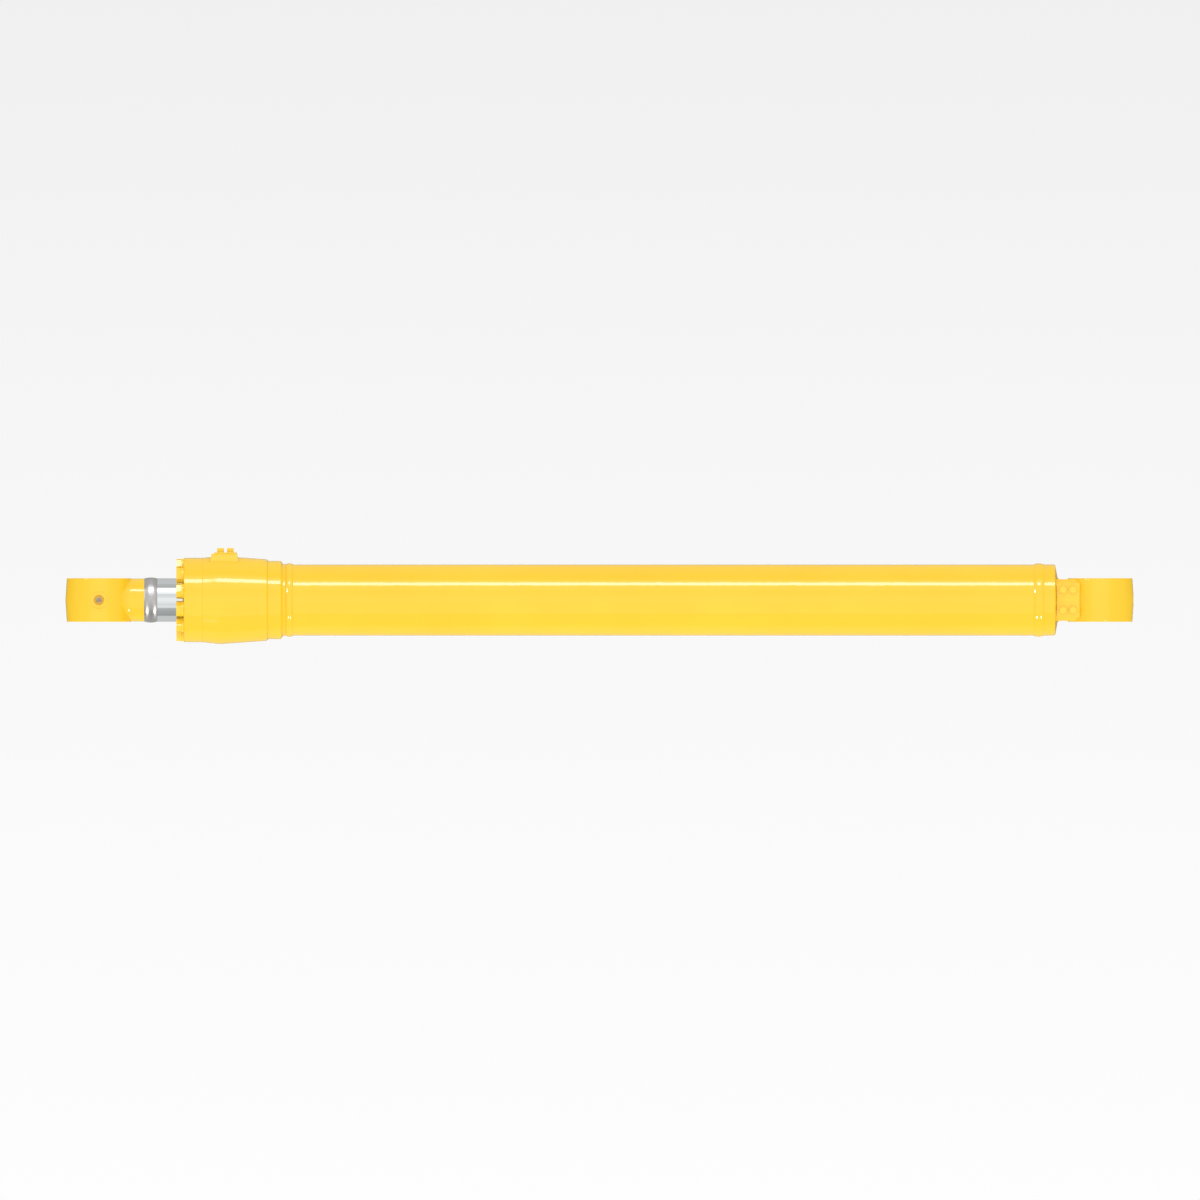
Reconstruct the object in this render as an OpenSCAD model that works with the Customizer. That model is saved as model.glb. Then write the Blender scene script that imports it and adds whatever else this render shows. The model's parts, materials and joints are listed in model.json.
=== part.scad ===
// Double-acting hydraulic cylinder: welded base, bolted gland and a bushed eye at each end.
// Units are millimetres. The origin is the centre of the base pin bore. +X runs along the
// cylinder to the rod eye, and +Z runs along both pins. The rod is drawn fully retracted.

/* [Cylinder] */
// Distance between the two pin centres with the rod fully in
pin_centres = 1973; // [1800:1:2400]
// Bore of the barrel
bore_d = 115; // [114:0.5:116]
// Outside diameter of the barrel
barrel_d = 140; // [138:1:142]
// Diameter of the chromed rod
rod_d = 85; // [84:0.5:85]

/* [Eyes] */
// Outside diameter of both eyes, halfway along the pin
eye_d = 133; // [130:1:138]
// Width of both eyes along the pin
eye_w = 86; // [85:1:90]
// Diameter of the pins that the bushes take
pin_d = 80; // [76:1:82]
// Wall thickness of the eye bushes
bush_wall = 7.5; // [6:0.5:8]
// Length of the eye bushes
bush_len = 73; // [68:1:75]

/* [Head] */
// Largest diameter of the head collar
collar_d = 173; // [172:1:176]
// Diameter of the gland flange
gland_d = 166; // [164:1:168]
// Thickness of the gland flange
flange_t = 37; // [34:1:40]
// Number of gland bolts
gland_bolt_n = 12; // [6:2:12]
// Diameter of the gland bolts
gland_bolt_d = 16; // [12:1:16]
// Bolt circle of the gland bolts
gland_pcd = 139; // [138:0.5:140]

/* [Ports] */
// Diameter of the oil ports
port_d = 13; // [8:1:14]
// Length of a port's blanking plate along the cylinder
plate_x = 44; // [42:1:44]
// Width of a port's blanking plate across the cylinder
plate_y = 66; // [62:1:68]
// Thickness of a port's blanking plate
plate_t = 2.5; // [2:0.5:5]
// Spacing of the port bolts along the cylinder
port_bolt_x = 19.4; // [18:0.1:20]
// Spacing of the port bolts across the cylinder
port_bolt_y = 40.5; // [38:0.1:42]

/* [Hidden] */
$fn = 96;

paint = [1.0, 0.80, 0.14];
bare_steel = [0.62, 0.61, 0.58];
chrome = [0.86, 0.87, 0.88];
dark_steel = [0.40, 0.41, 0.43];
bronze = [0.72, 0.55, 0.30];
rubber = [0.12, 0.12, 0.13];
polymer = [0.18, 0.36, 0.62];

bore_r = bore_d / 2;
barrel_r = barrel_d / 2;
rod_r = rod_d / 2;
gland_r = gland_d / 2;
eye_r = eye_d / 2;
pin_r = pin_d / 2;
bush_r = pin_r + bush_wall;
run = 0.05;          // radial clearance of a bush or a seal on the part that slides in it
free = 0.3;          // gap between moving parts that don't guide each other

// Eye forgings
eye_edge_r = eye_r - 2.7;        // the rim is drafted both ways from its middle
eye_round = 2.4;
seal_seat_r = bush_r + 2.5;
neck_fillet = 34;
base_neck_r = 41;
rod_neck_r = rod_r - 0.2;
nipple_spot_r = 17.3;
nipple_spot_at = eye_r - 2.9;
nipple_pocket_r = 10.3;
nipple_seat_at = eye_r - 10.5;
nipple_stem_r = 3;

// Base end
cap_face_x = 88.5;
base_weld_x = 120.5;
cap_inner_x = 143;
cushion_bore_r = 20.5;
cushion_bore_x = 98;
gallery_r = 8;
base_port_x = 63.5;
base_port_face = 54;

// Head end, counted back from the rod eye
rod_weld_x = pin_centres - 102;
gland_face_x = rod_weld_x - 65;
flange_x = gland_face_x - flange_t;
head_weld_x = flange_x - 171;
head_port_x = flange_x - 45;
head_port_face = 91.4;
spigot_r = bore_r + 1.5;
spigot_x = flange_x - 32;
gland_inner_x = flange_x - 113;
gland_nose_r = 54;
gland_washer_t = 4.5;
gland_bolt_len = 65;
gland_bolt_af = 24;
gland_bolt_head = 10;
gland_bolt_turn = 12;            // how far the hexagons are turned once tight

// Piston end of the rod
piston_len = 80;
piston_rear_x = 195;
piston_front_x = piston_rear_x + piston_len;
piston_r = bore_r - free;
piston_seat_r = 35;
thread_r = 32.4;
nut_x = 146;
nut_af = 90;
lock_hole_r = 5.05;
lock_screw_len = 5.5;
rod_tail_x = 148;
rod_weld_half = 12.9;
rod_weld_root_r = 30;
rod_pilot_r = 12;
cushion_r = 50;
cushion_len = 40;
cushion_seat_r = 40.5;
plunger_r = cushion_bore_r - free;
plunger_nose_x = 108;
plunger_stem_r = 14;
plunger_stem_len = 38;

// Grooves of the piston, each [start after the rear face, end, radius of its floor]
dirt_grooves = [[3, 7.2, 53.8], [72.8, 77, 53.8]];
wear_grooves = [[10, 24.2, 54.4], [56, 70.2, 54.4]];
seal_groove = [33, 47.2, 50.8];
slipper_t = 2.9;
piston_oring_groove = [50, 53.4];
piston_oring_wire = 2.64;

// Seats inside the gland, each counted back from its outer face: [outer end, inner end, radius]
wiper_seat = [0, 12, 50.5];
snap_groove = [1.4, 3.4, 52.5];
rod_seal_seat = [18, 32, 50];
buffer_seat = [42, 50, 49.5];
bush_seat = [56, 107, 46];
bush_snap_groove = [102.2, 104.4, 48];
oring_groove = [flange_t + 10.5, flange_t + 17, 54.6];

port_bolt_r = 4;
port_bolt_len = 19;
port_bolt_af = 13;
port_bolt_head = 6.3;
port_washer_r = 6.7;
port_washer_t = 2;
port_oring_r = 11.8;
port_oring_wire = 2;

// Turns an outline about the X axis: its x is the place along the axis and its y the radius
module turned() {
    rotate([0, 90, 0])
        rotate_extrude()
            mirror([1, -1, 0])
                children();
}

// Plain ring about the X axis
module ring(x0, x1, r0, r1) {
    turned()
        translate([x0, r0])
            square([x1 - x0, r1 - r0]);
}

// Bore about the X axis, cut a little past both ends
module bore(x0, x1, r) {
    translate([x0, 0, 0])
        rotate([0, 90, 0])
            cylinder(h = x1 - x0, r = r);
}

// Split ring about the X axis with a gap at the top
module split_ring(x0, x1, r0, r1, gap) {
    difference() {
        ring(x0, x1, r0, r1);
        translate([x0 - 1, -gap / 2, 0])
            cube([x1 - x0 + 2, gap, r1 + 1]);
    }
}

// Weld bead about x = 0: a vee down to its root and a crowned cap
module bead_outline(r, root_r, vee_half, cap_half, crown) {
    crown_r = (cap_half * cap_half + crown * crown) / (2 * crown);
    polygon([[0, root_r], [vee_half, r], [vee_half - 1, r + 0.2], [1 - vee_half, r + 0.2],
             [-vee_half, r]]);
    intersection() {
        translate([0, r + crown - crown_r])
            circle(crown_r);
        translate([-cap_half, r])
            square([2 * cap_half, crown + 1]);
    }
}

// Hexagon-headed screw along -Z with its head standing on z = 0
module hex_screw(d, len, af, head_h) {
    crown_r = 0.53 * af;
    intersection() {
        cylinder(h = head_h, d = af / cos(30), $fn = 6);
        cylinder(h = head_h, r1 = crown_r + head_h * tan(60), r2 = crown_r);
    }
    translate([0, 0, -len])
        cylinder(h = len + 1, d = d);
    translate([0, 0, -len - 1])
        cylinder(h = 1, r1 = d / 2 - 1, r2 = d / 2);
}

// Washer standing on z = 0
module washer(r0, r1, t) {
    rotate_extrude()
        polygon([[r0, 0], [r1, 0], [r1, t - 0.4], [r1 - 0.4, t], [r0, t]]);
}

// Places children on each gland bolt's axis, with +Z pointing out of the flange
module at_gland_bolts(x) {
    for (k = [0 : gland_bolt_n - 1])
        rotate([(k + 0.5) * 360 / gland_bolt_n, 0, 0])
            translate([x, gland_pcd / 2, 0])
                rotate([gland_bolt_turn, 0, 0])
                    rotate([0, 90, 0])
                        children();
}

// Places children on the base port's face, with +Z out of it and +X towards the eye
module at_base_port() {
    translate([base_port_x, base_port_face, 0])
        rotate([-90, 0, 0])
            mirror([1, 0, 0])
                children();
}

// Places children on the head port's face, with +Z out of it and +X towards the gland
module at_head_port() {
    translate([head_port_x, 0, head_port_face])
        children();
}

// Places children on the four bolt axes of a port
module at_port_bolts() {
    for (x = [-0.5, 0.5], y = [-0.5, 0.5])
        translate([x * port_bolt_x, y * port_bolt_y, 0])
            children();
}

// ---- Port parts, all standing on a port's face ----

// Drafted boss under a port, with a shoulder beyond the plate at each end
module port_boss(depth, front, back) {
    inner = plate_x / 2 + back;
    outer = plate_x / 2 + front;
    half = plate_y / 2;
    flare = 0.06 * depth;
    side_flare = 8;
    side_drop = 14;
    intersection() {
        rotate([90, 0, 0])
            linear_extrude(height = plate_y + 20, center = true)
                polygon([[1 - inner, 0], [outer - 1, 0], [outer, -1], [outer + flare, -depth],
                         [-inner - 2 * flare, -depth], [-inner, -1]]);
        rotate([90, 0, 90])
            linear_extrude(height = plate_x + 40, center = true)
                polygon([[1 - half, 0], [half - 1, 0], [half, -1], [half + side_flare, -side_drop],
                         [half + side_flare, -depth], [-half - side_flare, -depth],
                         [-half - side_flare, -side_drop], [-half, -1]]);
    }
}

// Holes of a port: the oil drilling, the ring groove and the four tapped holes
module port_holes(depth) {
    translate([0, 0, -depth])
        cylinder(h = depth + 1, d = port_d);
    rotate_extrude()
        translate([port_oring_r - port_oring_wire - 0.3, -2 * port_oring_wire])
            square([2 * port_oring_wire + 0.6, 2 * port_oring_wire + 1]);
    at_port_bolts()
        translate([0, 0, -18])
            cylinder(h = 19, r = port_bolt_r + 0.05);
}

// Blanking plate with rounded corners
module port_plate() {
    corner = 5;
    difference() {
        linear_extrude(height = plate_t) {
            square([plate_x - 2 * corner, plate_y], center = true);
            square([plate_x, plate_y - 2 * corner], center = true);
            for (x = [-1, 1], y = [-1, 1])
                translate([x * (plate_x / 2 - corner), y * (plate_y / 2 - corner)])
                    circle(corner);
        }
        at_port_bolts()
            translate([0, 0, -1])
                cylinder(h = plate_t + 2, r = port_bolt_r + 0.5);
    }
}

module port_oring() {
    translate([0, 0, -port_oring_wire])
        rotate_extrude()
            translate([port_oring_r, 0])
                circle(port_oring_wire - 0.05);
}

module port_bolts() {
    at_port_bolts()
        translate([0, 0, plate_t + port_washer_t])
            rotate([0, 0, 30])
                hex_screw(2 * port_bolt_r, port_bolt_len, port_bolt_af, port_bolt_head);
}

// Spring lock washers, each split on its outer side
module port_washers() {
    split = 1.2;
    at_port_bolts()
        translate([0, 0, plate_t])
            difference() {
                washer(port_bolt_r + 0.3, port_washer_r, port_washer_t);
                translate([0, -split / 2, -1])
                    cube([port_washer_r + 1, split, port_washer_t + 2]);
            }
}

// ---- Parts shared by the two eyes; the eye's own centre is the origin ----

// Eye forging with a neck that leaves along +X and ends at x = neck_end
module eye_forging(neck_r, neck_end) {
    reach = eye_r + neck_fillet;
    fillet_y = neck_r + neck_fillet;
    fillet_x = sqrt(reach * reach - fillet_y * fillet_y);
    meet = fillet_y * eye_r / reach;
    half = eye_w / 2;
    rim = eye_edge_r - eye_round;
    rotate_extrude() {
        polygon([[0, -half], [rim, -half], [eye_edge_r, eye_round - half], [eye_r, 0],
                 [eye_edge_r, half - eye_round], [rim, half], [0, half]]);
        for (z = [-1, 1])
            translate([rim, z * (half - eye_round)])
                circle(eye_round);
    }
    intersection() {
        turned()
            difference() {
                square([fillet_x, meet]);
                translate([fillet_x, fillet_y])
                    circle(neck_fillet);
            }
        translate([0, -eye_r, -half])
            cube([reach, 2 * eye_r, eye_w]);
    }
    bore(0, neck_end, neck_r);
}

// Bore, seal seats and nipple pocket of an eye, with the nipple on the +X side
module eye_cuts() {
    cylinder(h = eye_w + 2, r = bush_r, center = true);
    for (z = [-1, 1])
        translate([0, 0, z * (bush_len / 4 + eye_w / 2)])
            cylinder(h = eye_w - bush_len / 2, r = seal_seat_r, center = true);
    bore(nipple_seat_at, eye_r + 1, nipple_pocket_r);
    bore(bush_r - 1, eye_r, nipple_stem_r + 0.05);
}

// Bush with a grease groove around its middle and a feed hole on the +X side
module eye_bush() {
    groove_w = 6;
    difference() {
        rotate_extrude()
            polygon([[pin_r, -bush_len / 2 + 1], [pin_r + 1, -bush_len / 2],
                     [bush_r - 0.5, -bush_len / 2], [bush_r, -bush_len / 2 + 0.5],
                     [bush_r, bush_len / 2 - 0.5], [bush_r - 0.5, bush_len / 2],
                     [pin_r + 1, bush_len / 2], [pin_r, bush_len / 2 - 1],
                     [pin_r, groove_w / 2], [pin_r + 1.5, groove_w / 2],
                     [pin_r + 1.5, -groove_w / 2], [pin_r, -groove_w / 2]]);
        bore(pin_r - 1, bush_r + 1, 2.5);
    }
}

// A lipped dust seal in each side of an eye
module eye_seals() {
    seat = bush_len / 2 + 0.1;
    face = eye_w / 2 - 0.4;
    lip_r = pin_r + 1.2;
    for (z = [0, 1])
        mirror([0, 0, z])
            rotate_extrude()
                polygon([[lip_r, seat], [seal_seat_r - 0.02, seat], [seal_seat_r - 0.02, face],
                         [seal_seat_r - 2.6, face], [seal_seat_r - 4, face - 1.8],
                         [lip_r + 2.2, face - 1.2], [lip_r + 0.6, face + 0.2], [lip_r, face - 0.6]]);
}

// Grease nipple along +X, screwed into an eye's pocket
module grease_nipple() {
    translate([nipple_seat_at, 0, 0])
        rotate([0, 90, 0]) {
            translate([0, 0, -7])
                cylinder(h = 8, r = nipple_stem_r);
            intersection() {
                cylinder(h = 4, d = 9 / cos(30), $fn = 6);
                cylinder(h = 4, r1 = 11, r2 = 4.3);
            }
            difference() {
                rotate_extrude()
                    polygon([[0, 3], [3.4, 3], [3.4, 4.4], [2.1, 5.6], [2.1, 6.6],
                             [3, 7.6], [1.9, 9.8], [0, 9.8]]);
                translate([0, 0, 8.8])
                    cylinder(h = 2, r = 0.9);
            }
        }
}

// ---- Base end ----

module base_cap() {
    color(paint)
        difference() {
            union() {
                eye_forging(base_neck_r, cap_face_x + 4);
                turned()
                    polygon([[cap_face_x - 8, 0], [cap_face_x - 8, base_neck_r],
                             [cap_face_x - 4.6, base_neck_r + 3.2], [cap_face_x, barrel_r - 1.8],
                             [cap_face_x + 1.4, barrel_r], [base_weld_x - 8, barrel_r],
                             [base_weld_x, barrel_r - 9], [base_weld_x, bore_r - 0.1],
                             [cap_inner_x - 2, bore_r - 0.1], [cap_inner_x, bore_r - 2.1],
                             [cap_inner_x, 0]]);
                at_base_port()
                    port_boss(34, 2, 3);
            }
            rotate([0, 0, 180])
                eye_cuts();
            bore(cushion_bore_x, cap_inner_x + 1, cushion_bore_r);
            turned()
                polygon([[cap_inner_x - 3, 0], [cap_inner_x - 3, cushion_bore_r - 0.01],
                         [cap_inner_x + 1, cushion_bore_r + 4], [cap_inner_x + 1, 0]]);
            bore(base_port_x - 4, cushion_bore_x + 1, gallery_r);
            at_base_port()
                port_holes(base_port_face);
        }
}

module base_eye_bush() {
    color(bronze)
        rotate([0, 0, 180])
            eye_bush();
}

module base_dust_seals() {
    color(rubber)
        eye_seals();
}

module base_grease_nipple() {
    color(dark_steel)
        rotate([0, 0, 180])
            grease_nipple();
}

module base_port_plate() {
    color(paint)
        at_base_port()
            port_plate();
}

module base_port_oring() {
    color(rubber)
        at_base_port()
            port_oring();
}

module base_port_bolts() {
    color(paint)
        at_base_port()
            port_bolts();
}

module base_port_washers() {
    color(paint)
        at_base_port()
            port_washers();
}

// ---- Barrel ----

module base_weld_bead() {
    color(paint)
        turned()
            translate([base_weld_x, 0])
                bead_outline(barrel_r, barrel_r - 9, 8, 10.5, 2.4);
}

module barrel_tube() {
    color(paint)
        turned()
            polygon([[base_weld_x, bore_r], [base_weld_x, barrel_r - 9], [base_weld_x + 8, barrel_r],
                     [head_weld_x - 6, barrel_r], [head_weld_x, barrel_r - 9], [head_weld_x, bore_r]]);
}

module head_weld_bead() {
    color(paint)
        turned()
            translate([head_weld_x, 0])
                bead_outline(barrel_r, barrel_r - 9, 6, 7.5, 2.5);
}

// ---- Head ----

module head_collar() {
    collar_r = collar_d / 2;
    color(paint)
        difference() {
            union() {
                turned()
                    polygon([[head_weld_x, bore_r], [head_weld_x, barrel_r - 9], [head_weld_x + 6, barrel_r],
                             [head_weld_x + 7.5, barrel_r], [head_weld_x + 8, barrel_r + 1],
                             [head_weld_x + 12.5, barrel_r + 1], [head_weld_x + 17, barrel_r + 7],
                             [head_weld_x + 42, barrel_r + 7], [head_weld_x + 44.5, collar_r - 6.2],
                             [flange_x - 38, collar_r], [flange_x - 30, collar_r - 0.2],
                             [flange_x - 0.3, gland_r + 0.2], [flange_x, gland_r - 0.1],
                             [flange_x, bore_r]]);
                difference() {
                    at_head_port()
                        port_boss(30, 6, 1);
                    bore(head_weld_x, flange_x, bore_r + 1);
                }
            }
            bore(spigot_x, flange_x + 1, spigot_r);
            at_gland_bolts(flange_x - 30)
                cylinder(h = 31, d = gland_bolt_d + 0.1);
            at_head_port()
                port_holes(head_port_face - bore_r + 6);
        }
}

module head_port_plate() {
    color(paint)
        at_head_port()
            port_plate();
}

module head_port_oring() {
    color(rubber)
        at_head_port()
            port_oring();
}

module head_port_bolts() {
    color(paint)
        at_head_port()
            port_bolts();
}

module head_port_washers() {
    color(paint)
        at_head_port()
            port_washers();
}

// ---- Gland and what it holds ----

// Cuts a seat given as [outer end, inner end, radius], counted back from the gland's face
module gland_seat(seat) {
    bore(gland_face_x - seat[1], gland_face_x - seat[0], seat[2]);
}

// Ring that fills a seat of the gland, less the given end gaps, from the rod outwards
module seat_ring(seat, outer_gap, inner_gap) {
    ring(gland_face_x - seat[1] + inner_gap, gland_face_x - seat[0] - outer_gap,
         rod_r + run, seat[2] - 0.02);
}

module gland() {
    color(paint)
        difference() {
            turned()
                polygon([[gland_inner_x, 0], [gland_inner_x, gland_nose_r - 1],
                         [gland_inner_x + 1, gland_nose_r],
                         [spigot_x + 1, gland_nose_r], [spigot_x + 4, spigot_r - 0.04],
                         [flange_x, spigot_r - 0.04], [flange_x, gland_r - 0.3],
                         [flange_x + 0.3, gland_r],
                         [gland_face_x - 1.5, gland_r], [gland_face_x, gland_r - 1.5], [gland_face_x, 0]]);
            bore(gland_inner_x - 1, gland_face_x + 1, rod_r + 0.6);
            bore(gland_inner_x - 1, gland_inner_x + cushion_len + 3, cushion_r + free);
            for (seat = [rod_seal_seat, buffer_seat, bush_seat, bush_snap_groove, snap_groove])
                gland_seat(seat);
            bore(gland_face_x - wiper_seat[1], gland_face_x + 1, wiper_seat[2]);
            ring(gland_face_x - oring_groove[1], gland_face_x - oring_groove[0],
                 oring_groove[2], spigot_r + 1);
            at_gland_bolts(flange_x - 1)
                cylinder(h = flange_t + 2, d = gland_bolt_d + 1.5);
        }
}

module gland_bolts() {
    color(paint)
        at_gland_bolts(gland_face_x + gland_washer_t)
            hex_screw(gland_bolt_d, gland_bolt_len, gland_bolt_af, gland_bolt_head);
}

module gland_washers() {
    color(paint)
        at_gland_bolts(gland_face_x)
            washer(gland_bolt_d / 2 + 0.5, 14.2, gland_washer_t);
}

module gland_oring() {
    wire_r = (spigot_r - oring_groove[2]) / 2;
    color(rubber)
        turned()
            translate([gland_face_x - oring_groove[1] + wire_r + 0.1, oring_groove[2] + wire_r])
                circle(wire_r - 0.04);
}

module gland_backup_ring() {
    color(polymer)
        split_ring(gland_face_x - oring_groove[0] - 1.9, gland_face_x - oring_groove[0] - 0.1,
                   oring_groove[2] + 0.05, spigot_r - 0.05, 1);
}

module rod_bush() {
    color(bronze)
        ring(gland_face_x - bush_snap_groove[0] + 0.1, gland_face_x - bush_seat[0] - 0.1,
             rod_r + run, bush_seat[2] - 0.02);
}

module rod_bush_snap_ring() {
    color(dark_steel)
        split_ring(gland_face_x - bush_snap_groove[1] + 0.1, gland_face_x - bush_snap_groove[0] - 0.1,
                   44.2, bush_snap_groove[2] - 0.1, 12);
}

module rod_buffer_ring() {
    color(polymer)
        seat_ring(buffer_seat, 0.1, 0.1);
}

// Lipped seal that opens towards the oil
module rod_seal() {
    x0 = gland_face_x - rod_seal_seat[1] + 0.2;
    x1 = x0 + 10.8;
    r0 = rod_r + run;
    r1 = rod_seal_seat[2] - 0.05;
    color(rubber)
        turned()
            polygon([[x1, r0], [x1, r1], [x0, r1], [x0 + 0.6, r1 - 2.2], [x0 + 4.6, r1 - 3.2],
                     [x0 + 4.6, r0 + 3.1], [x0 + 0.6, r0 + 2.2], [x0, r0]]);
}

module rod_seal_backup_ring() {
    color(polymer)
        seat_ring(rod_seal_seat, 0.1, 11.1);
}

// Double-lipped wiper in its seat, with the outer lip just proud of the gland's face
module rod_wiper() {
    x0 = gland_face_x - wiper_seat[1] + 0.1;
    r0 = rod_r + run;
    r1 = wiper_seat[2] - 0.02;
    color(rubber)
        turned()
            polygon([[x0, r0 + 1.5], [x0, r1], [x0 + 8.3, r1], [x0 + 8.3, r1 - 2.5], [x0 + 5, r1 - 3.5],
                     [x0 + 9, r0 + 2.2], [x0 + 13.4, r0 + 0.9], [x0 + 13.4, r0], [x0 + 11, r0],
                     [x0 + 5, r0 + 0.8], [x0 + 2, r0]]);
}

module wiper_snap_ring() {
    color(dark_steel)
        split_ring(gland_face_x - snap_groove[1] + 0.1, gland_face_x - snap_groove[0] - 0.1,
                   48.2, snap_groove[2] - 0.2, 14);
}

// ---- Rings that seal and guide the piston in the barrel ----

// Ring in a groove of the piston, clear of the groove's floor and sides
module piston_ring(groove, floor_gap, gap) {
    split_ring(piston_rear_x + groove[0] + 0.1, piston_rear_x + groove[1] - 0.1,
               groove[2] + floor_gap, bore_r - run, gap);
}

module piston_seal() {
    color(polymer)
        ring(piston_rear_x + seal_groove[0] + 0.1, piston_rear_x + seal_groove[1] - 0.1,
             bore_r - slipper_t, bore_r - run);
}

module piston_seal_energiser() {
    color(rubber)
        ring(piston_rear_x + seal_groove[0] + 1, piston_rear_x + seal_groove[1] - 1,
             seal_groove[2] + 0.15, bore_r - slipper_t);
}

module piston_wear_rings() {
    color(bronze)
        for (groove = wear_grooves)
            piston_ring(groove, 0.15, 2.5);
}

module piston_dirt_rings() {
    color(polymer)
        for (groove = dirt_grooves)
            piston_ring(groove, 0.15, 1);
}

// ---- Rod and piston ----

module piston_rod() {
    color(chrome)
        difference() {
            turned()
                polygon([[rod_tail_x, 0], [rod_tail_x, thread_r - 1.5], [rod_tail_x + 1.5, thread_r],
                         [piston_rear_x, thread_r], [piston_rear_x, piston_seat_r - 0.5],
                         [piston_rear_x + 0.5, piston_seat_r], [piston_front_x, piston_seat_r],
                         [piston_front_x, cushion_seat_r],
                         [piston_front_x + cushion_len + 0.4, cushion_seat_r],
                         [piston_front_x + cushion_len + 0.4, rod_r - 1],
                         [piston_front_x + cushion_len + 1.4, rod_r],
                         [rod_weld_x - rod_weld_half, rod_r], [rod_weld_x, rod_weld_root_r],
                         [rod_weld_x, 0]]);
            bore(rod_tail_x - 1, rod_tail_x + plunger_stem_len + 2, plunger_stem_r + 0.05);
            bore(rod_weld_x - 15, rod_weld_x + 1, rod_pilot_r + 0.05);
        }
}

module piston() {
    color(dark_steel)
        difference() {
            turned()
                polygon([[piston_rear_x, piston_seat_r + run], [piston_rear_x, piston_r - 1.5],
                         [piston_rear_x + 1.5, piston_r], [piston_front_x - 1.5, piston_r],
                         [piston_front_x, piston_r - 1.5], [piston_front_x, piston_seat_r + run]]);
            for (groove = concat(dirt_grooves, wear_grooves, [seal_groove]))
                ring(piston_rear_x + groove[0], piston_rear_x + groove[1], groove[2], bore_r + 1);
            ring(piston_rear_x + piston_oring_groove[0], piston_rear_x + piston_oring_groove[1],
                 piston_seat_r - 1, piston_seat_r + piston_oring_wire + 0.16);
        }
}

module piston_oring() {
    color(rubber)
        turned()
            translate([piston_rear_x + (piston_oring_groove[0] + piston_oring_groove[1]) / 2,
                       piston_seat_r + 0.1 + piston_oring_wire / 2])
                circle(piston_oring_wire / 2);
}

module piston_nut() {
    color(dark_steel)
        difference() {
            intersection() {
                translate([nut_x, 0, 0])
                    rotate([0, 90, 0])
                        cylinder(h = piston_rear_x - nut_x, d = nut_af / cos(30), $fn = 6);
                turned()
                    polygon([[nut_x, 0], [nut_x, nut_af / 2 - 2], [nut_x + 8, nut_af / 2 + 12],
                             [piston_rear_x, nut_af / 2 + 12], [piston_rear_x, 0]]);
            }
            bore(nut_x - 1, piston_rear_x + 1, thread_r + 0.1);
            translate([(nut_x + piston_rear_x) / 2, 0, 0])
                rotate([-90, 0, 0])
                    cylinder(h = nut_af, r = lock_hole_r);
        }
}

module nut_lock_screw() {
    color(dark_steel)
        translate([(nut_x + piston_rear_x) / 2, nut_af / 2 - lock_screw_len - 0.5, 0])
            rotate([-90, 0, 0])
                difference() {
                    cylinder(h = lock_screw_len, r = lock_hole_r - 0.05);
                    translate([0, 0, 2])
                        cylinder(h = 4, d = 5 / cos(30), $fn = 6);
                }
}

module nut_lock_ball() {
    ball_r = 3.2;
    color(chrome)
        translate([(nut_x + piston_rear_x) / 2, thread_r + 0.1 + ball_r, 0])
            sphere(ball_r);
}

// Ring that enters the gland's nose and slows the rod at the end of its outward stroke
module front_cushion_ring() {
    color(dark_steel)
        turned()
            polygon([[piston_front_x + 0.2, cushion_seat_r + 0.1], [piston_front_x + 0.2, cushion_r - 1],
                     [piston_front_x + 1.2, cushion_r], [piston_front_x + cushion_len - 12, cushion_r],
                     [piston_front_x + cushion_len, cushion_r - 1.5],
                     [piston_front_x + cushion_len, cushion_seat_r + 0.1]]);
}

// Plunger that enters the base cap and slows the rod at the end of its inward stroke
module rear_cushion_plunger() {
    color(dark_steel)
        turned()
            polygon([[plunger_nose_x, 0], [plunger_nose_x, plunger_r - 3],
                     [plunger_nose_x + 8, plunger_r - 0.6], [plunger_nose_x + 22, plunger_r],
                     [rod_tail_x - 0.1, plunger_r], [rod_tail_x - 0.1, plunger_stem_r],
                     [rod_tail_x + plunger_stem_len - 1, plunger_stem_r],
                     [rod_tail_x + plunger_stem_len, plunger_stem_r - 1],
                     [rod_tail_x + plunger_stem_len, 0]]);
}

// ---- Rod eye ----

module rod_weld_bead() {
    color(bare_steel)
        turned()
            translate([rod_weld_x, 0])
                bead_outline(rod_r, rod_weld_root_r, rod_weld_half, rod_weld_half, 2);
}

module rod_eye() {
    neck_share = (rod_neck_r - rod_weld_root_r) / (rod_r - rod_weld_root_r);
    color(paint)
        difference() {
            union() {
                translate([pin_centres, 0, 0])
                    mirror([1, 0, 0])
                        eye_forging(rod_neck_r, pin_centres - rod_weld_x - 14);
                turned()
                    polygon([[rod_weld_x - 14, 0], [rod_weld_x - 14, rod_pilot_r], [rod_weld_x, rod_pilot_r],
                             [rod_weld_x, rod_weld_root_r],
                             [rod_weld_x + rod_weld_half * neck_share, rod_neck_r],
                             [rod_weld_x + 16, rod_neck_r], [rod_weld_x + 16, 0]]);
            }
            translate([pin_centres, 0, 0])
                rotate([0, 0, 90]) {
                    eye_cuts();
                    bore(nipple_spot_at, eye_r + 1, nipple_spot_r);
                }
        }
}

module rod_eye_bush() {
    color(bronze)
        translate([pin_centres, 0, 0])
            rotate([0, 0, 90])
                eye_bush();
}

module rod_dust_seals() {
    color(rubber)
        translate([pin_centres, 0, 0])
            eye_seals();
}

module rod_grease_nipple() {
    color(dark_steel)
        translate([pin_centres, 0, 0])
            rotate([0, 0, 90])
                grease_nipple();
}

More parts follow.
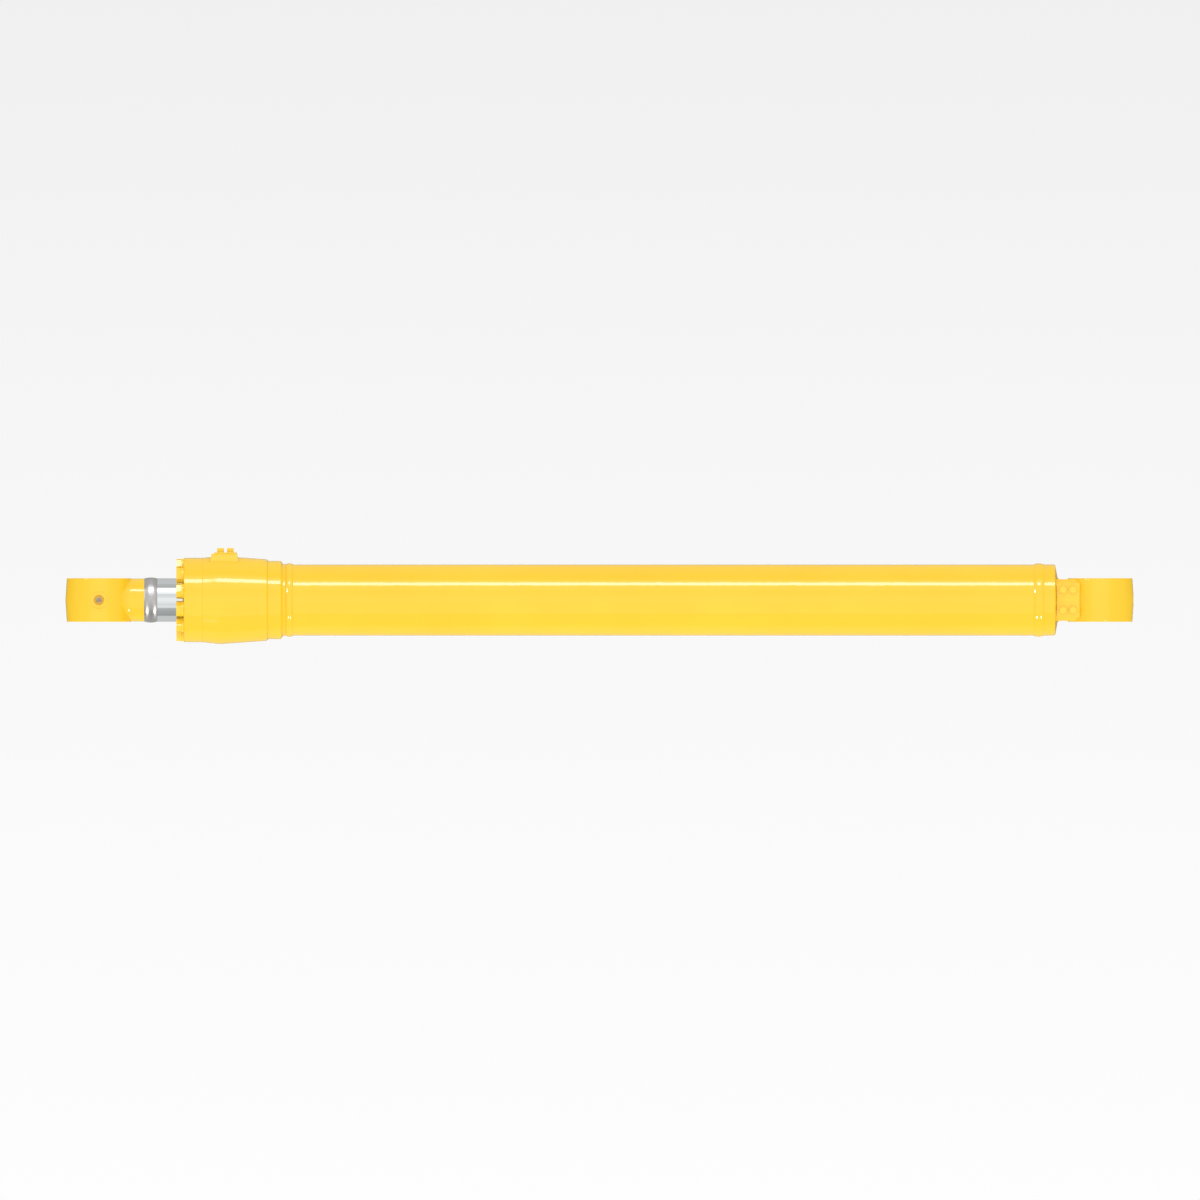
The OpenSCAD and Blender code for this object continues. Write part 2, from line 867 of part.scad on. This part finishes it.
base_cap();
base_eye_bush();
base_dust_seals();
base_grease_nipple();
base_port_plate();
base_port_oring();
base_port_bolts();
base_port_washers();
base_weld_bead();
barrel_tube();
head_weld_bead();
head_collar();
head_port_plate();
head_port_oring();
head_port_bolts();
head_port_washers();
gland();
gland_bolts();
gland_washers();
gland_oring();
gland_backup_ring();
rod_bush();
rod_bush_snap_ring();
rod_buffer_ring();
rod_seal();
rod_seal_backup_ring();
rod_wiper();
wiper_snap_ring();
piston_seal();
piston_seal_energiser();
piston_wear_rings();
piston_dirt_rings();
piston_rod();
piston();
piston_oring();
piston_nut();
nut_lock_screw();
nut_lock_ball();
front_cushion_ring();
rear_cushion_plunger();
rod_weld_bead();
rod_eye();
rod_eye_bush();
rod_dust_seals();
rod_grease_nipple();
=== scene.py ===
"""Looks of the double-acting hydraulic cylinder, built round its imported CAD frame.

Metres, in the same frame as the CAD: +X runs to the rod eye, +Z along both pins, and the
camera looks along -Y.
"""
import json
import math

import bmesh
import bpy
from mathutils import Matrix, Vector


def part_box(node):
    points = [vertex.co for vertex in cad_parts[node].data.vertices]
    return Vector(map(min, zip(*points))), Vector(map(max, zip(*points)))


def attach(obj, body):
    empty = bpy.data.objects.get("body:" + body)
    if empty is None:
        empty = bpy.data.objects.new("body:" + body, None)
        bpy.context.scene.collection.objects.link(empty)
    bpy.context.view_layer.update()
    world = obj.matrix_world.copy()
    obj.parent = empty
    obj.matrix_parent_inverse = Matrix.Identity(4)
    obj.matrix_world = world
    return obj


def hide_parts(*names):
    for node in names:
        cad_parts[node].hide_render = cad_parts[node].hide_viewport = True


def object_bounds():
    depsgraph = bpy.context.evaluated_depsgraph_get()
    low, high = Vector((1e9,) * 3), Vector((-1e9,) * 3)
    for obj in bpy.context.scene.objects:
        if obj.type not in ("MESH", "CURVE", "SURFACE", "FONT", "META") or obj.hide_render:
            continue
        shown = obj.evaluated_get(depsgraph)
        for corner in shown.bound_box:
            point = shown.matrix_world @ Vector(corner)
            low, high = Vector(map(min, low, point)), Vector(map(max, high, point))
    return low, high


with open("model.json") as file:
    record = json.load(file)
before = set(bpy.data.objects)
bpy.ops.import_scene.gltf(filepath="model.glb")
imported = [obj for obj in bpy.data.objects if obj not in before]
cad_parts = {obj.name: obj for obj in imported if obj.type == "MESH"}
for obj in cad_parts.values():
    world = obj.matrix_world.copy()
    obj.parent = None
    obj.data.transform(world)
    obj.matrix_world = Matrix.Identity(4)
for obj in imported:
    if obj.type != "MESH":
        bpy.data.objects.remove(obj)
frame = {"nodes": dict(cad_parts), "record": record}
cad_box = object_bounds()
NODES = frame["nodes"]
MIDDLE_X = (cad_box[0].x + cad_box[1].x) / 2
MM = 0.001


# ---- Shader graphs ----

class Graph:
    """Adds nodes to a node tree and links them."""

    def __init__(self, tree):
        self.tree = tree

    def put(self, socket, value):
        if isinstance(value, bpy.types.NodeSocket):
            self.tree.links.new(value, socket)
        else:
            socket.default_value = value

    def add(self, kind, inputs=None, **settings):
        made = self.tree.nodes.new(kind)
        for name, value in settings.items():
            setattr(made, name, value)
        for key, value in (inputs or {}).items():
            self.put(made.inputs[key], value)
        return made

    def math(self, operation, *values):
        made = self.add("ShaderNodeMath", operation=operation)
        for socket, value in zip(made.inputs, values):
            self.put(socket, value)
        return made.outputs[0]

    def scaled(self, vector, factors):
        made = self.add("ShaderNodeVectorMath", {0: vector, 1: factors}, operation="MULTIPLY")
        return made.outputs[0]

    def noise(self, vector, scale, detail=2.0, roughness=0.5):
        inputs = {"Vector": vector, "Scale": scale, "Detail": detail, "Roughness": roughness}
        return self.add("ShaderNodeTexNoise", inputs).outputs["Fac"]

    def cells(self, vector, scale):
        return self.add("ShaderNodeTexVoronoi", {"Vector": vector, "Scale": scale}).outputs["Distance"]

    def spread(self, value, low, high, start=0.0, end=1.0):
        """Maps value from low..high to start..end, and holds it beyond."""
        inputs = {"Value": value, "From Min": low, "From Max": high, "To Min": start, "To Max": end}
        return self.add("ShaderNodeMapRange", inputs).outputs["Result"]

    def mix(self, share, first, second):
        made = self.add("ShaderNodeMix", data_type="RGBA")
        self.put(made.inputs[0], share)
        self.put(made.inputs[6], first)
        self.put(made.inputs[7], second)
        return made.outputs[2]

    def bump(self, height, depth, under=None):
        """Bump whose height runs over depth metres, on top of another bump."""
        made = self.add("ShaderNodeBump", {"Height": height, "Distance": depth, "Strength": 1.0})
        if under is not None:
            self.put(made.inputs["Normal"], under)
        return made.outputs["Normal"]

    def steps(self, value, stops):
        """Grey ramp through (place, brightness) stops."""
        made = self.add("ShaderNodeValToRGB", {"Fac": value})
        elements = made.color_ramp.elements
        for element, (place, level) in zip(elements, (stops[0], stops[-1])):
            element.position = place
            element.color = (level, level, level, 1.0)
        for place, level in stops[1:-1]:
            elements.new(place).color = (level, level, level, 1.0)
        return made.outputs["Color"]


def rgb(red, green, blue):
    return (red, green, blue, 1.0)


def start_material(name, **constants):
    """New material with its graph, its shader and the coordinates of the surface in metres."""
    material = bpy.data.materials.new(name)
    material.use_nodes = True
    graph = Graph(material.node_tree)
    shader = material.node_tree.nodes["Principled BSDF"]
    for key, value in constants.items():
        shader.inputs[key.replace("_", " ")].default_value = value
    place = graph.add("ShaderNodeTexCoord").outputs["Object"]
    return material, graph, shader, place


def turned_place(graph, place, axis="X", centre=(0.0, 0.0, 0.0)):
    """Coordinates that are the same all round a lathe axis: (along the axis, radius, 0)."""
    moved = graph.add("ShaderNodeVectorMath", {0: place, 1: centre}, operation="SUBTRACT").outputs[0]
    parts = graph.add("ShaderNodeSeparateXYZ", {0: moved}).outputs
    across = {"X": (0.0, 1.0, 1.0), "Z": (1.0, 1.0, 0.0)}[axis]
    radius = graph.add("ShaderNodeVectorMath", {0: graph.scaled(moved, across)}, operation="LENGTH")
    inputs = {0: parts["X" if axis == "X" else "Z"], 1: radius.outputs["Value"]}
    return graph.add("ShaderNodeCombineXYZ", inputs).outputs[0]


# ---- Materials ----

def enamel(name, forged=False):
    """Gloss yellow enamel: faint mottle, orange peel and, on forgings, the skin under the paint. On small
    hardware the paint is a little lighter, as painted light.
    """
    coat = {"Coat_Weight": 0.28, "Coat_Roughness": 0.08, "Coat_IOR": 2.5, "Specular_IOR_Level": 0.08}
    material, graph, shader, place = start_material(name, **coat)
    cloud = graph.noise(place, 7.0, 3.0)
    speck = graph.noise(place, 900.0, 1.0)
    # Small hardware stands in the shade of the faces round it, so its paint is made a little lighter:
    # painted light against that shade
    painted_light_gain = 1.0 if forged else 1.07
    deep = rgb(0.975, 0.600 * painted_light_gain, 0.024 * painted_light_gain ** 5)
    light = rgb(0.985, 0.632 * painted_light_gain, 0.030 * painted_light_gain ** 5)
    warm = graph.mix(graph.spread(cloud, 0.3, 0.7), deep, light)
    dusted = graph.mix(graph.spread(speck, 0.66, 0.8, 0.0, 0.25), warm, rgb(0.95, 0.54, 0.012))
    graph.put(shader.inputs["Base Color"], dusted)
    gloss = graph.spread(graph.noise(place, 26.0, 4.0), 0.3, 0.7, 0.12, 0.17)
    graph.put(shader.inputs["Roughness"], gloss)
    surface = graph.bump(graph.noise(place, 330.0, 1.5), 5e-6)
    if forged:
        surface = graph.bump(graph.noise(place, 95.0, 4.0, 0.6), 4e-5, surface)
    graph.put(shader.inputs["Normal"], surface)
    return material


def hard_chrome(name):
    """Ground and polished chrome with its fine lay round the rod."""
    material, graph, shader, place = start_material(name, Metallic=1.0)
    lay = turned_place(graph, place)
    fine = graph.noise(lay, 9000.0, 3.0, 0.7)
    broad = graph.noise(place, 12.0, 3.0)
    tint = graph.mix(graph.spread(broad, 0.35, 0.65), rgb(0.87, 0.905, 0.905), rgb(0.89, 0.925, 0.92))
    graph.put(shader.inputs["Base Color"], tint)
    shine = graph.spread(broad, 0.3, 0.7, 0.035, 0.055)
    polish = graph.math("ADD", shine, graph.spread(fine, 0.3, 0.7, 0.0, 0.03))
    graph.put(shader.inputs["Roughness"], polish)
    graph.put(shader.inputs["Normal"], graph.bump(fine, 4e-8))
    return material


def turned_metal(name, colour, worn, roughness, axis="X", centre=(0.0, 0.0, 0.0)):
    """Lathe-turned metal: feed marks round the axis and a slight stain."""
    feed = 0.25 * MM
    material, graph, shader, place = start_material(name, Metallic=1.0)
    lay = turned_place(graph, place, axis, centre)
    marks = graph.noise(lay, 1.0 / feed, 2.0, 0.6)
    stain = graph.noise(place, 60.0, 5.0, 0.65)
    graph.put(shader.inputs["Base Color"], graph.mix(graph.spread(stain, 0.35, 0.7), colour, worn))
    graph.put(shader.inputs["Roughness"], graph.spread(marks, 0.3, 0.7, roughness - 0.05, roughness + 0.06))
    graph.put(shader.inputs["Normal"], graph.bump(marks, 2e-6))
    return material


def wire_brushed(name):
    """Bare weld, wire-brushed round the rod: a satin that draws its glints out round the axis."""
    material, graph, shader, place = start_material(name, Metallic=1.0, Anisotropic=0.9)
    lay = turned_place(graph, place)
    hairs = graph.noise(lay, 2500.0, 3.0, 0.7)
    stain = graph.noise(place, 70.0, 4.0, 0.6)
    tint = graph.mix(graph.spread(stain, 0.35, 0.7), rgb(0.62, 0.61, 0.585), rgb(0.52, 0.505, 0.475))
    graph.put(shader.inputs["Base Color"], tint)
    graph.put(shader.inputs["Roughness"], graph.spread(hairs, 0.3, 0.7, 0.23, 0.31))
    graph.put(shader.inputs["Normal"], graph.bump(hairs, 4e-7))
    round_axis = graph.add("ShaderNodeTangent", direction_type="RADIAL", axis="X")
    graph.put(shader.inputs["Tangent"], round_axis.outputs["Tangent"])
    return material


def grained(name, colour, other, roughness, grain, depth, metallic=0.0):
    """Moulded, plated or phosphated surface with an even grain."""
    material, graph, shader, place = start_material(name, Metallic=metallic)
    cells = graph.cells(place, grain)
    cloud = graph.noise(place, grain / 12.0, 4.0)
    graph.put(shader.inputs["Base Color"], graph.mix(graph.spread(cloud, 0.3, 0.7), colour, other))
    graph.put(shader.inputs["Roughness"], graph.spread(cloud, 0.3, 0.7, roughness - 0.05, roughness + 0.07))
    graph.put(shader.inputs["Normal"], graph.bump(cells, depth))
    return material


def fabric_resin(name):
    """Brown wear-ring resin with the weave of its cloth filler."""
    along_per_metre = 6300.0
    round_per_radian = 360.0
    material, graph, shader, place = start_material(name, Roughness=0.5)
    parts = graph.add("ShaderNodeSeparateXYZ", {0: place}).outputs
    angle = graph.math("ARCTAN2", parts["Z"], parts["Y"])
    warp = graph.math("SINE", graph.math("MULTIPLY", parts["X"], along_per_metre))
    weft = graph.math("SINE", graph.math("MULTIPLY", angle, round_per_radian))
    weave = graph.math("MULTIPLY", warp, weft)
    share = graph.spread(weave, -1.0, 1.0)
    graph.put(shader.inputs["Base Color"], graph.mix(share, rgb(0.20, 0.10, 0.035), rgb(0.33, 0.18, 0.07)))
    graph.put(shader.inputs["Normal"], graph.bump(weave, 2e-5))
    return material


def pin_centre(node):
    low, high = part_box(node)
    return ((low.x + high.x) / 2, (low.y + high.y) / 2, 0.0)


def make_materials():
    """One material for each material slot, plus the eye bushes, which are turned about their pins."""
    bronze = (rgb(0.56, 0.36, 0.13), rgb(0.47, 0.29, 0.10), 0.30)
    rubber = (rgb(0.018, 0.018, 0.020), rgb(0.030, 0.030, 0.032))
    polymer = (rgb(0.03, 0.10, 0.28), rgb(0.05, 0.14, 0.33))
    plated = (rgb(0.50, 0.55, 0.62), rgb(0.42, 0.47, 0.55))
    spring = (rgb(0.09, 0.09, 0.10), rgb(0.13, 0.13, 0.14))
    made = {
        "paint": enamel("paint", forged=True),
        "painted_hardware": enamel("painted_hardware"),
        "rod_chrome": hard_chrome("rod_chrome"),
        "weld_steel": wire_brushed("weld_steel"),
        "bush_bronze": turned_metal("bush_bronze", *bronze),
        "seal_rubber": grained("seal_rubber", *rubber, 0.5, 2500.0, 1e-5),
        "seal_polymer": grained("seal_polymer", *polymer, 0.35, 3000.0, 2e-6),
        "wear_resin": fabric_resin("wear_resin"),
        "plated_steel": grained("plated_steel", *plated, 0.25, 4000.0, 1e-6, 1.0),
        "spring_steel": grained("spring_steel", *spring, 0.42, 3500.0, 3e-6, 1.0),
        "machined_steel": turned_metal("machined_steel", rgb(0.42, 0.42, 0.43), rgb(0.33, 0.33, 0.34), 0.28),
    }
    for node in ("base_eye_bush", "rod_eye_bush"):
        made[node] = turned_metal(node, *bronze, axis="Z", centre=pin_centre(node))
    return made


def dress(materials):
    """Gives each CAD node the finished material of its slot."""
    for part in frame["record"]["subparts"]:
        node = NODES[part["node"]]
        material = materials.get(part["node"], materials[part["material_slot"]])
        node.data.materials.clear()
        node.data.materials.append(material)


# ---- Weld beads ----

CAP_SAMPLES = 14            # steps across the cap of a bead
STEPS_PER_RIPPLE = 8
SHOULDER = 0.3 * MM         # how far a bead's buried corners lie under the tube's surface


def bead_profile(half, crown):
    """(x, height) across the cap of a bead, from one toe to the other."""
    radius = (half * half + crown * crown) / (2 * crown)
    shares = [2 * i / CAP_SAMPLES - 1 for i in range(CAP_SAMPLES + 1)]
    across = [half * math.sin(math.pi / 2 * share) for share in shares]
    return [(x, math.sqrt(radius * radius - x * x) - radius + crown) for x in across]


def rippled(cap, half, angle, ripples, ripple):
    """The cap at one angle round the tube, with ripples that lag and fade towards its toes."""
    shape = []
    for x, height in cap:
        share = x / half
        lag = 0.9 * share ** 2
        wander = 0.15 * math.sin(7 * angle) + 0.1 * math.sin(17 * angle + 1.0)
        phase = (ripples * angle / (2 * math.pi) + lag + wander) % 1.0
        crest = 0.5 - 0.5 * math.cos(2 * math.pi * phase ** 0.7)
        fade = 1.0 - abs(share) ** 6
        toe = 1.0 + 0.03 * math.sin(11 * angle + 2.0) * abs(share)
        shape.append((math.copysign(min(half, abs(x * toe)), x), height + ripple * crest * fade))
    return shape


def lathe(mesh, rings):
    """Joins closed rings of points, each ring to the next and the last to the first."""
    for ring, after in zip(rings, rings[1:] + rings[:1]):
        for i in range(len(ring)):
            j = (i + 1) % len(ring)
            mesh.faces.new((ring[i], ring[j], after[j], after[i]))
    bmesh.ops.recalc_face_normals(mesh, faces=mesh.faces)


def weld_bead(name, node, vee_half, pitch, ripple, material):
    """Closed bead round the X axis in place of a CAD one, with the ripples of the weld pool."""
    tube_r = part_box("barrel_tube")[1].z
    vee_depth = 9 * MM
    low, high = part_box(node)
    centre = (low.x + high.x) / 2
    half = (high.x - low.x) / 2
    cap = bead_profile(half, high.z - tube_r - ripple)
    root = [(vee_half, -SHOULDER), (0.0, -vee_depth), (-vee_half, -SHOULDER)]
    ripples = round(2 * math.pi * tube_r / pitch)
    turns = ripples * STEPS_PER_RIPPLE
    mesh = bmesh.new()
    rings = []
    for step in range(turns):
        angle = 2 * math.pi * step / turns
        cos, sin = math.cos(angle), math.sin(angle)
        section = rippled(cap, half, angle, ripples, ripple) + root
        points = [(centre + x, (tube_r + height) * cos, (tube_r + height) * sin) for x, height in section]
        rings.append([mesh.verts.new(point) for point in points])
    lathe(mesh, rings)
    data = bpy.data.meshes.new(name)
    mesh.to_mesh(data)
    mesh.free()
    data.polygons.foreach_set("use_smooth", [True] * len(data.polygons))
    data.materials.append(material)
    piece = bpy.data.objects.new(name, data)
    bpy.context.scene.collection.objects.link(piece)
    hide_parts(node)
    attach(piece, "barrel")


def make_beads(paint):
    weld_bead("base_bead", "base_weld_bead", 7.6 * MM, 5.5 * MM, 0.09 * MM, paint)
    weld_bead("head_bead", "head_weld_bead", 5.6 * MM, 5.0 * MM, 0.08 * MM, paint)


# ---- Studio ----

# Degrees round the X axis from straight at the camera, and the brightness reflected from there
STRIPS = (
    (-180.0, 0.15), (-152.0, 0.59), (-97.0, 0.61), (-92.0, 0.35), (-59.0, 0.42), (-45.0, 0.49),
    (-40.0, 0.84), (-30.0, 0.80), (-24.0, 0.75), (-13.0, 0.86), (0.0, 0.94), (8.0, 0.92),
    (18.0, 0.79), (30.0, 0.75), (36.0, 1.0), (40.0, 1.05), (52.0, 1.2), (66.0, 1.2),
    (71.0, 0.48), (92.0, 0.50), (98.0, 0.59), (152.0, 0.57), (180.0, 0.15),
)
LAMP_REACH = 60.0
LENS = 1500.0               # millimetres, as the sensor
SENSOR = 36.0
VIEW_TO_LENGTH = 1.1236     # width of the view for each metre of cylinder
OFF_CENTRE = 0.0011         # the cylinder sits this far off the middle of the view


def make_world():
    """Even soft surroundings, with studio strips along X for reflections and a plain backdrop."""
    world = bpy.data.worlds.new("studio")
    bpy.context.scene.world = world
    world.use_nodes = True
    world.cycles.sampling_method = "NONE"
    graph = Graph(world.node_tree)
    direction = graph.add("ShaderNodeTexCoord").outputs["Generated"]
    parts = graph.add("ShaderNodeSeparateXYZ", {0: direction}).outputs
    endways = graph.math("MULTIPLY", parts["X"], parts["X"])
    around = graph.math("ARCTAN2", parts["Z"], parts["Y"])
    place = graph.math("ADD", graph.math("DIVIDE", around, 2 * math.pi), 0.5)
    strips = graph.steps(place, [((angle + 180) / 360, level) for angle, level in STRIPS])
    dim_ends = graph.spread(endways, 0.08, 0.45, 1.0, 0.55)
    shine = graph.math("MULTIPLY", strips, dim_ends)
    end_fade = graph.math("SUBTRACT", 1.0, graph.math("MULTIPLY", endways, 0.42))
    top_fade = graph.math("SUBTRACT", 1.0, graph.math("MULTIPLY", parts["Z"], 0.09))
    fill = graph.math("MULTIPLY", graph.math("MULTIPLY", 1.28, end_fade), top_fade)
    height = graph.spread(parts["Z"], -0.012, 0.012)
    backdrop = graph.steps(height, [(0.0, 0.987), (0.5, 0.939), (1.0, 0.871)])
    path = graph.add("ShaderNodeLightPath").outputs
    unseen = graph.mix(path["Is Glossy Ray"], fill, shine)
    light = graph.mix(path["Is Camera Ray"], unseen, backdrop)
    graph.put(world.node_tree.nodes["Background"].inputs["Color"], light)


def far_light(name, towards, width, depth, radiance, colour=(1.0, 1.0, 1.0)):
    """Distant panel or disc, width by depth degrees across, that only shows in reflections."""
    data = bpy.data.lights.new(name, "AREA")
    is_panel = width > depth
    data.shape = "RECTANGLE" if is_panel else "DISK"
    data.size = 2 * LAMP_REACH * math.tan(math.radians(width / 2))
    data.size_y = 2 * LAMP_REACH * math.tan(math.radians(depth / 2))
    data.color = colour
    filled = 1.0 if is_panel else math.pi / 4
    data.energy = radiance * math.pi * data.size * data.size_y * filled
    lamp = bpy.data.objects.new(name, data)
    away = Vector(towards).normalized()
    up = away.cross(Vector((1.0, 0.0, 0.0))).normalized()
    across = up.cross(away)
    place = Matrix((across, up, away)).transposed().to_4x4()
    place.translation = Vector((MIDDLE_X, 0.0, 0.0)) + LAMP_REACH * away
    lamp.matrix_world = place
    lamp.visible_diffuse = False
    lamp.visible_camera = False
    lamp.visible_transmission = False
    bpy.context.scene.collection.objects.link(lamp)


def make_lights():
    """Long key strip above the camera, two round lights below it and one off to the rod's side."""
    tilt = math.radians(54.0)
    key = (0.0, math.cos(tilt), math.sin(tilt))
    far_light("key_strip", key, 24.0, 10.0, 7.4, (0.84, 0.82, 0.98))
    for sideways in (0.30, -0.30):
        far_light("low_light", (sideways, 0.49, -0.82), 9.0, 9.0, 20.0)
    far_light("side_light", (0.65, 0.63, 0.43), 12.0, 12.0, 28.0)


def make_floor():
    """Pale floor well below the cylinder that fades into the backdrop."""
    radius = 10.0
    drop = 1.27
    mesh = bmesh.new()
    bmesh.ops.create_circle(mesh, cap_ends=True, segments=96, radius=radius)
    data = bpy.data.meshes.new("floor")
    mesh.to_mesh(data)
    mesh.free()
    floor = bpy.data.objects.new("floor", data)
    floor.location = (MIDDLE_X, 0.0, cad_box[0].z - drop)
    bpy.context.scene.collection.objects.link(floor)
    material, graph, shader, place = start_material("floor", Roughness=0.9, Specular_IOR_Level=0.0)
    grain = graph.spread(graph.noise(place, 3.0, 4.0), 0.3, 0.7)
    paper = graph.mix(grain, rgb(0.925, 0.925, 0.925), rgb(0.935, 0.935, 0.935))
    graph.put(shader.inputs["Base Color"], paper)
    away = graph.add("ShaderNodeVectorMath", {0: place}, operation="LENGTH").outputs["Value"]
    graph.put(shader.inputs["Alpha"], graph.spread(away, 3.5, 9.5, 1.0, 0.0))
    data.materials.append(material)
    floor.visible_glossy = False
    floor.visible_diffuse = False
    floor.visible_shadow = False


def make_camera():
    """Very long lens square on to the side of the cylinder, so that its lines stay straight."""
    data = bpy.data.cameras.new("camera")
    data.lens = LENS
    data.sensor_width = SENSOR
    data.clip_end = 200.0
    camera = bpy.data.objects.new("camera", data)
    view_width = VIEW_TO_LENGTH * (cad_box[1].x - cad_box[0].x)
    camera.location = (MIDDLE_X - OFF_CENTRE, view_width * LENS / SENSOR, 0.0)
    camera.rotation_mode = "QUATERNION"
    camera.rotation_quaternion = Vector((0.0, -1.0, 0.0)).to_track_quat("-Z", "Y")
    bpy.context.scene.collection.objects.link(camera)
    bpy.context.scene.camera = camera


finishes = make_materials()
dress(finishes)
make_beads(finishes["paint"])
make_camera()
make_world()
make_lights()
make_floor()
bpy.context.scene.view_settings.view_transform = "Standard"
